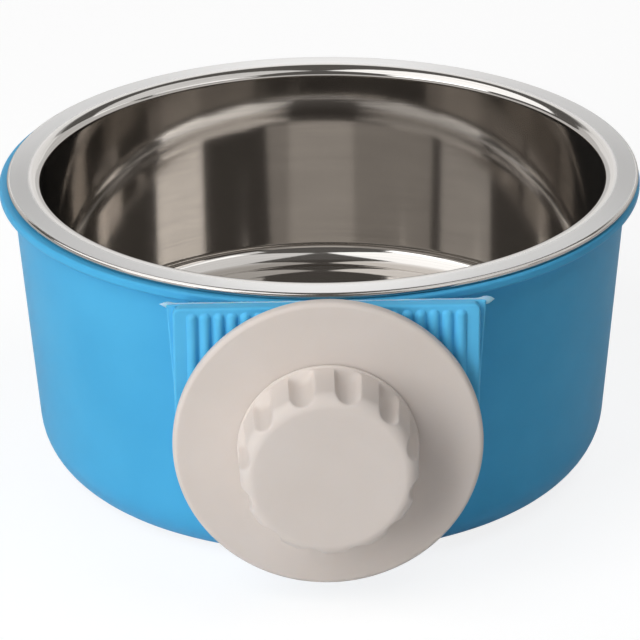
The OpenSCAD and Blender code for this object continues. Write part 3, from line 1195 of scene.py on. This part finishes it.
class CAGEBOWL_OT_clamp_bolt(bpy.types.Operator):
    """Build the threaded bolt"""

    bl_idname = "cagebowl.clamp_bolt"
    bl_label = "Bolt"

    def execute(self, context):
        settings = context.scene.cage_bowl
        size = settings.clamp
        plate = settings.plate
        finish = settings.finish
        white = moulded_plastic("bolt_plastic", finish.off_white, finish.off_white_warm, roughness=0.38)
        head_back = -BOLT_HIGH.y
        head_front = head_back + size.head_thick
        overlap = 1 * MM
        shape = joined(
            bolt_head_shape(size.head_half, head_back, head_front),
            bolt_shank_shape(size, head_front - overlap, plate.face, -BOLT_LOW.y),
        )
        bolt = new_piece("threaded_bolt", shape, CLAMP_FRAME)
        dress(bolt, "bowl", "clamp_bolt", white, "clamp_bolt")
        return {"FINISHED"}


class CAGEBOWL_OT_clamp_disc(bpy.types.Operator):
    """Build the clamp disc"""

    bl_idname = "cagebowl.clamp_disc"
    bl_label = "Clamp disc"

    def execute(self, context):
        settings = context.scene.cage_bowl
        finish = settings.finish
        white = moulded_plastic(
            "disc_plastic", finish.off_white, finish.off_white_warm,
            roughness=0.37, speck_share=0.02, subsurface=0.22,
        )
        profile = disc_profile(settings.clamp, -DISC_HIGH.y, -DISC_LOW.y)
        disc = new_piece("pressure_disc", turned(profile, MOULDED_SEGMENTS), CLAMP_FRAME)
        dress(disc, "disc", "clamp_disc", white, "clamp_disc")
        return {"FINISHED"}


class CAGEBOWL_OT_clamp_knob(bpy.types.Operator):
    """Build the fluted knob"""

    bl_idname = "cagebowl.clamp_knob"
    bl_label = "Knob"

    def execute(self, context):
        settings = context.scene.cage_bowl
        finish = settings.finish
        white = moulded_plastic(
            "knob_plastic", finish.off_white, finish.off_white_warm,
            roughness=0.36, speck_share=0.04, subsurface=0.22,
        )
        shape = knob_shape(settings.clamp, -KNOB_HIGH.y, -KNOB_LOW.y)
        knob = new_piece("fluted_knob", shape, CLAMP_FRAME)
        dress(knob, "knob", "clamp_knob", white, "clamp_knob")
        return {"FINISHED"}


class CAGEBOWL_OT_stage(bpy.types.Operator):
    """Build the camera, the softboxes and the pale sweep under the bowl"""

    bl_idname = "cagebowl.stage"
    bl_label = "Stage"

    def execute(self, context):
        scene = context.scene
        settings = scene.cage_bowl.stage
        scene.view_settings.view_transform = "Standard"
        add_camera(scene, settings)
        add_softbox("key_softbox", settings.key_power, azimuth=-41, elevation=19, size=(0.60, 0.85))
        add_softbox("left_softbox", settings.left_power, azimuth=-48, elevation=50, size=(0.70, 0.50))
        add_softbox("right_softbox", settings.right_power, azimuth=60, elevation=64, size=(0.80, 0.60))
        add_softbox("back_softbox", settings.back_power, azimuth=180, elevation=18, size=(1.00, 0.50))
        add_card("left_card", 2.45, azimuth=-54, elevation=27, size=(0.94, 0.24))
        add_card("right_card", 0.95, azimuth=52, elevation=27, size=(1.00, 0.30))
        add_card("high_left_card", 1.7, azimuth=-78, elevation=55, size=(1.80, 1.10))
        add_card("high_right_card", 0.9, azimuth=76, elevation=54, size=(1.70, 1.10))
        add_card("back_card", 0.40, azimuth=180, elevation=27, size=(1.15, 0.40), distance=1.25)
        add_room(scene, settings.room, settings.mirrored_room)
        add_sweep(settings)
        return {"FINISHED"}


class CAGEBOWL_PT_panel(bpy.types.Panel):
    """Lists the steps that build the cage bowl"""

    bl_label = "Cage bowl"
    bl_idname = "CAGEBOWL_PT_panel"
    bl_space_type = "VIEW_3D"
    bl_region_type = "UI"
    bl_category = "Cage bowl"

    def draw(self, context):
        for step in OPERATORS:
            self.layout.operator(step.bl_idname)


OPERATORS = (
    CAGEBOWL_OT_stage,
    CAGEBOWL_OT_outer_bowl,
    CAGEBOWL_OT_steel_insert,
    CAGEBOWL_OT_mount_plate,
    CAGEBOWL_OT_clamp_bolt,
    CAGEBOWL_OT_clamp_disc,
    CAGEBOWL_OT_clamp_knob,
)
CLASSES = (
    CageBowlOuter,
    CageBowlInsert,
    CageBowlPlate,
    CageBowlClamp,
    CageBowlFinish,
    CageBowlStage,
    CageBowlSettings,
    *OPERATORS,
    CAGEBOWL_PT_panel,
)


def register():
    for item in CLASSES:
        bpy.utils.register_class(item)
    bpy.types.Scene.cage_bowl = PointerProperty(type=CageBowlSettings)


def unregister():
    del bpy.types.Scene.cage_bowl
    for item in reversed(CLASSES):
        bpy.utils.unregister_class(item)


def main():
    register()
    bpy.ops.cagebowl.stage()
    bpy.ops.cagebowl.outer_bowl()
    bpy.ops.cagebowl.steel_insert()
    bpy.ops.cagebowl.mount_plate()
    bpy.ops.cagebowl.clamp_bolt()
    bpy.ops.cagebowl.clamp_disc()
    bpy.ops.cagebowl.clamp_knob()
    bpy.context.view_layer.update()


if __name__ == "__main__":
    main()
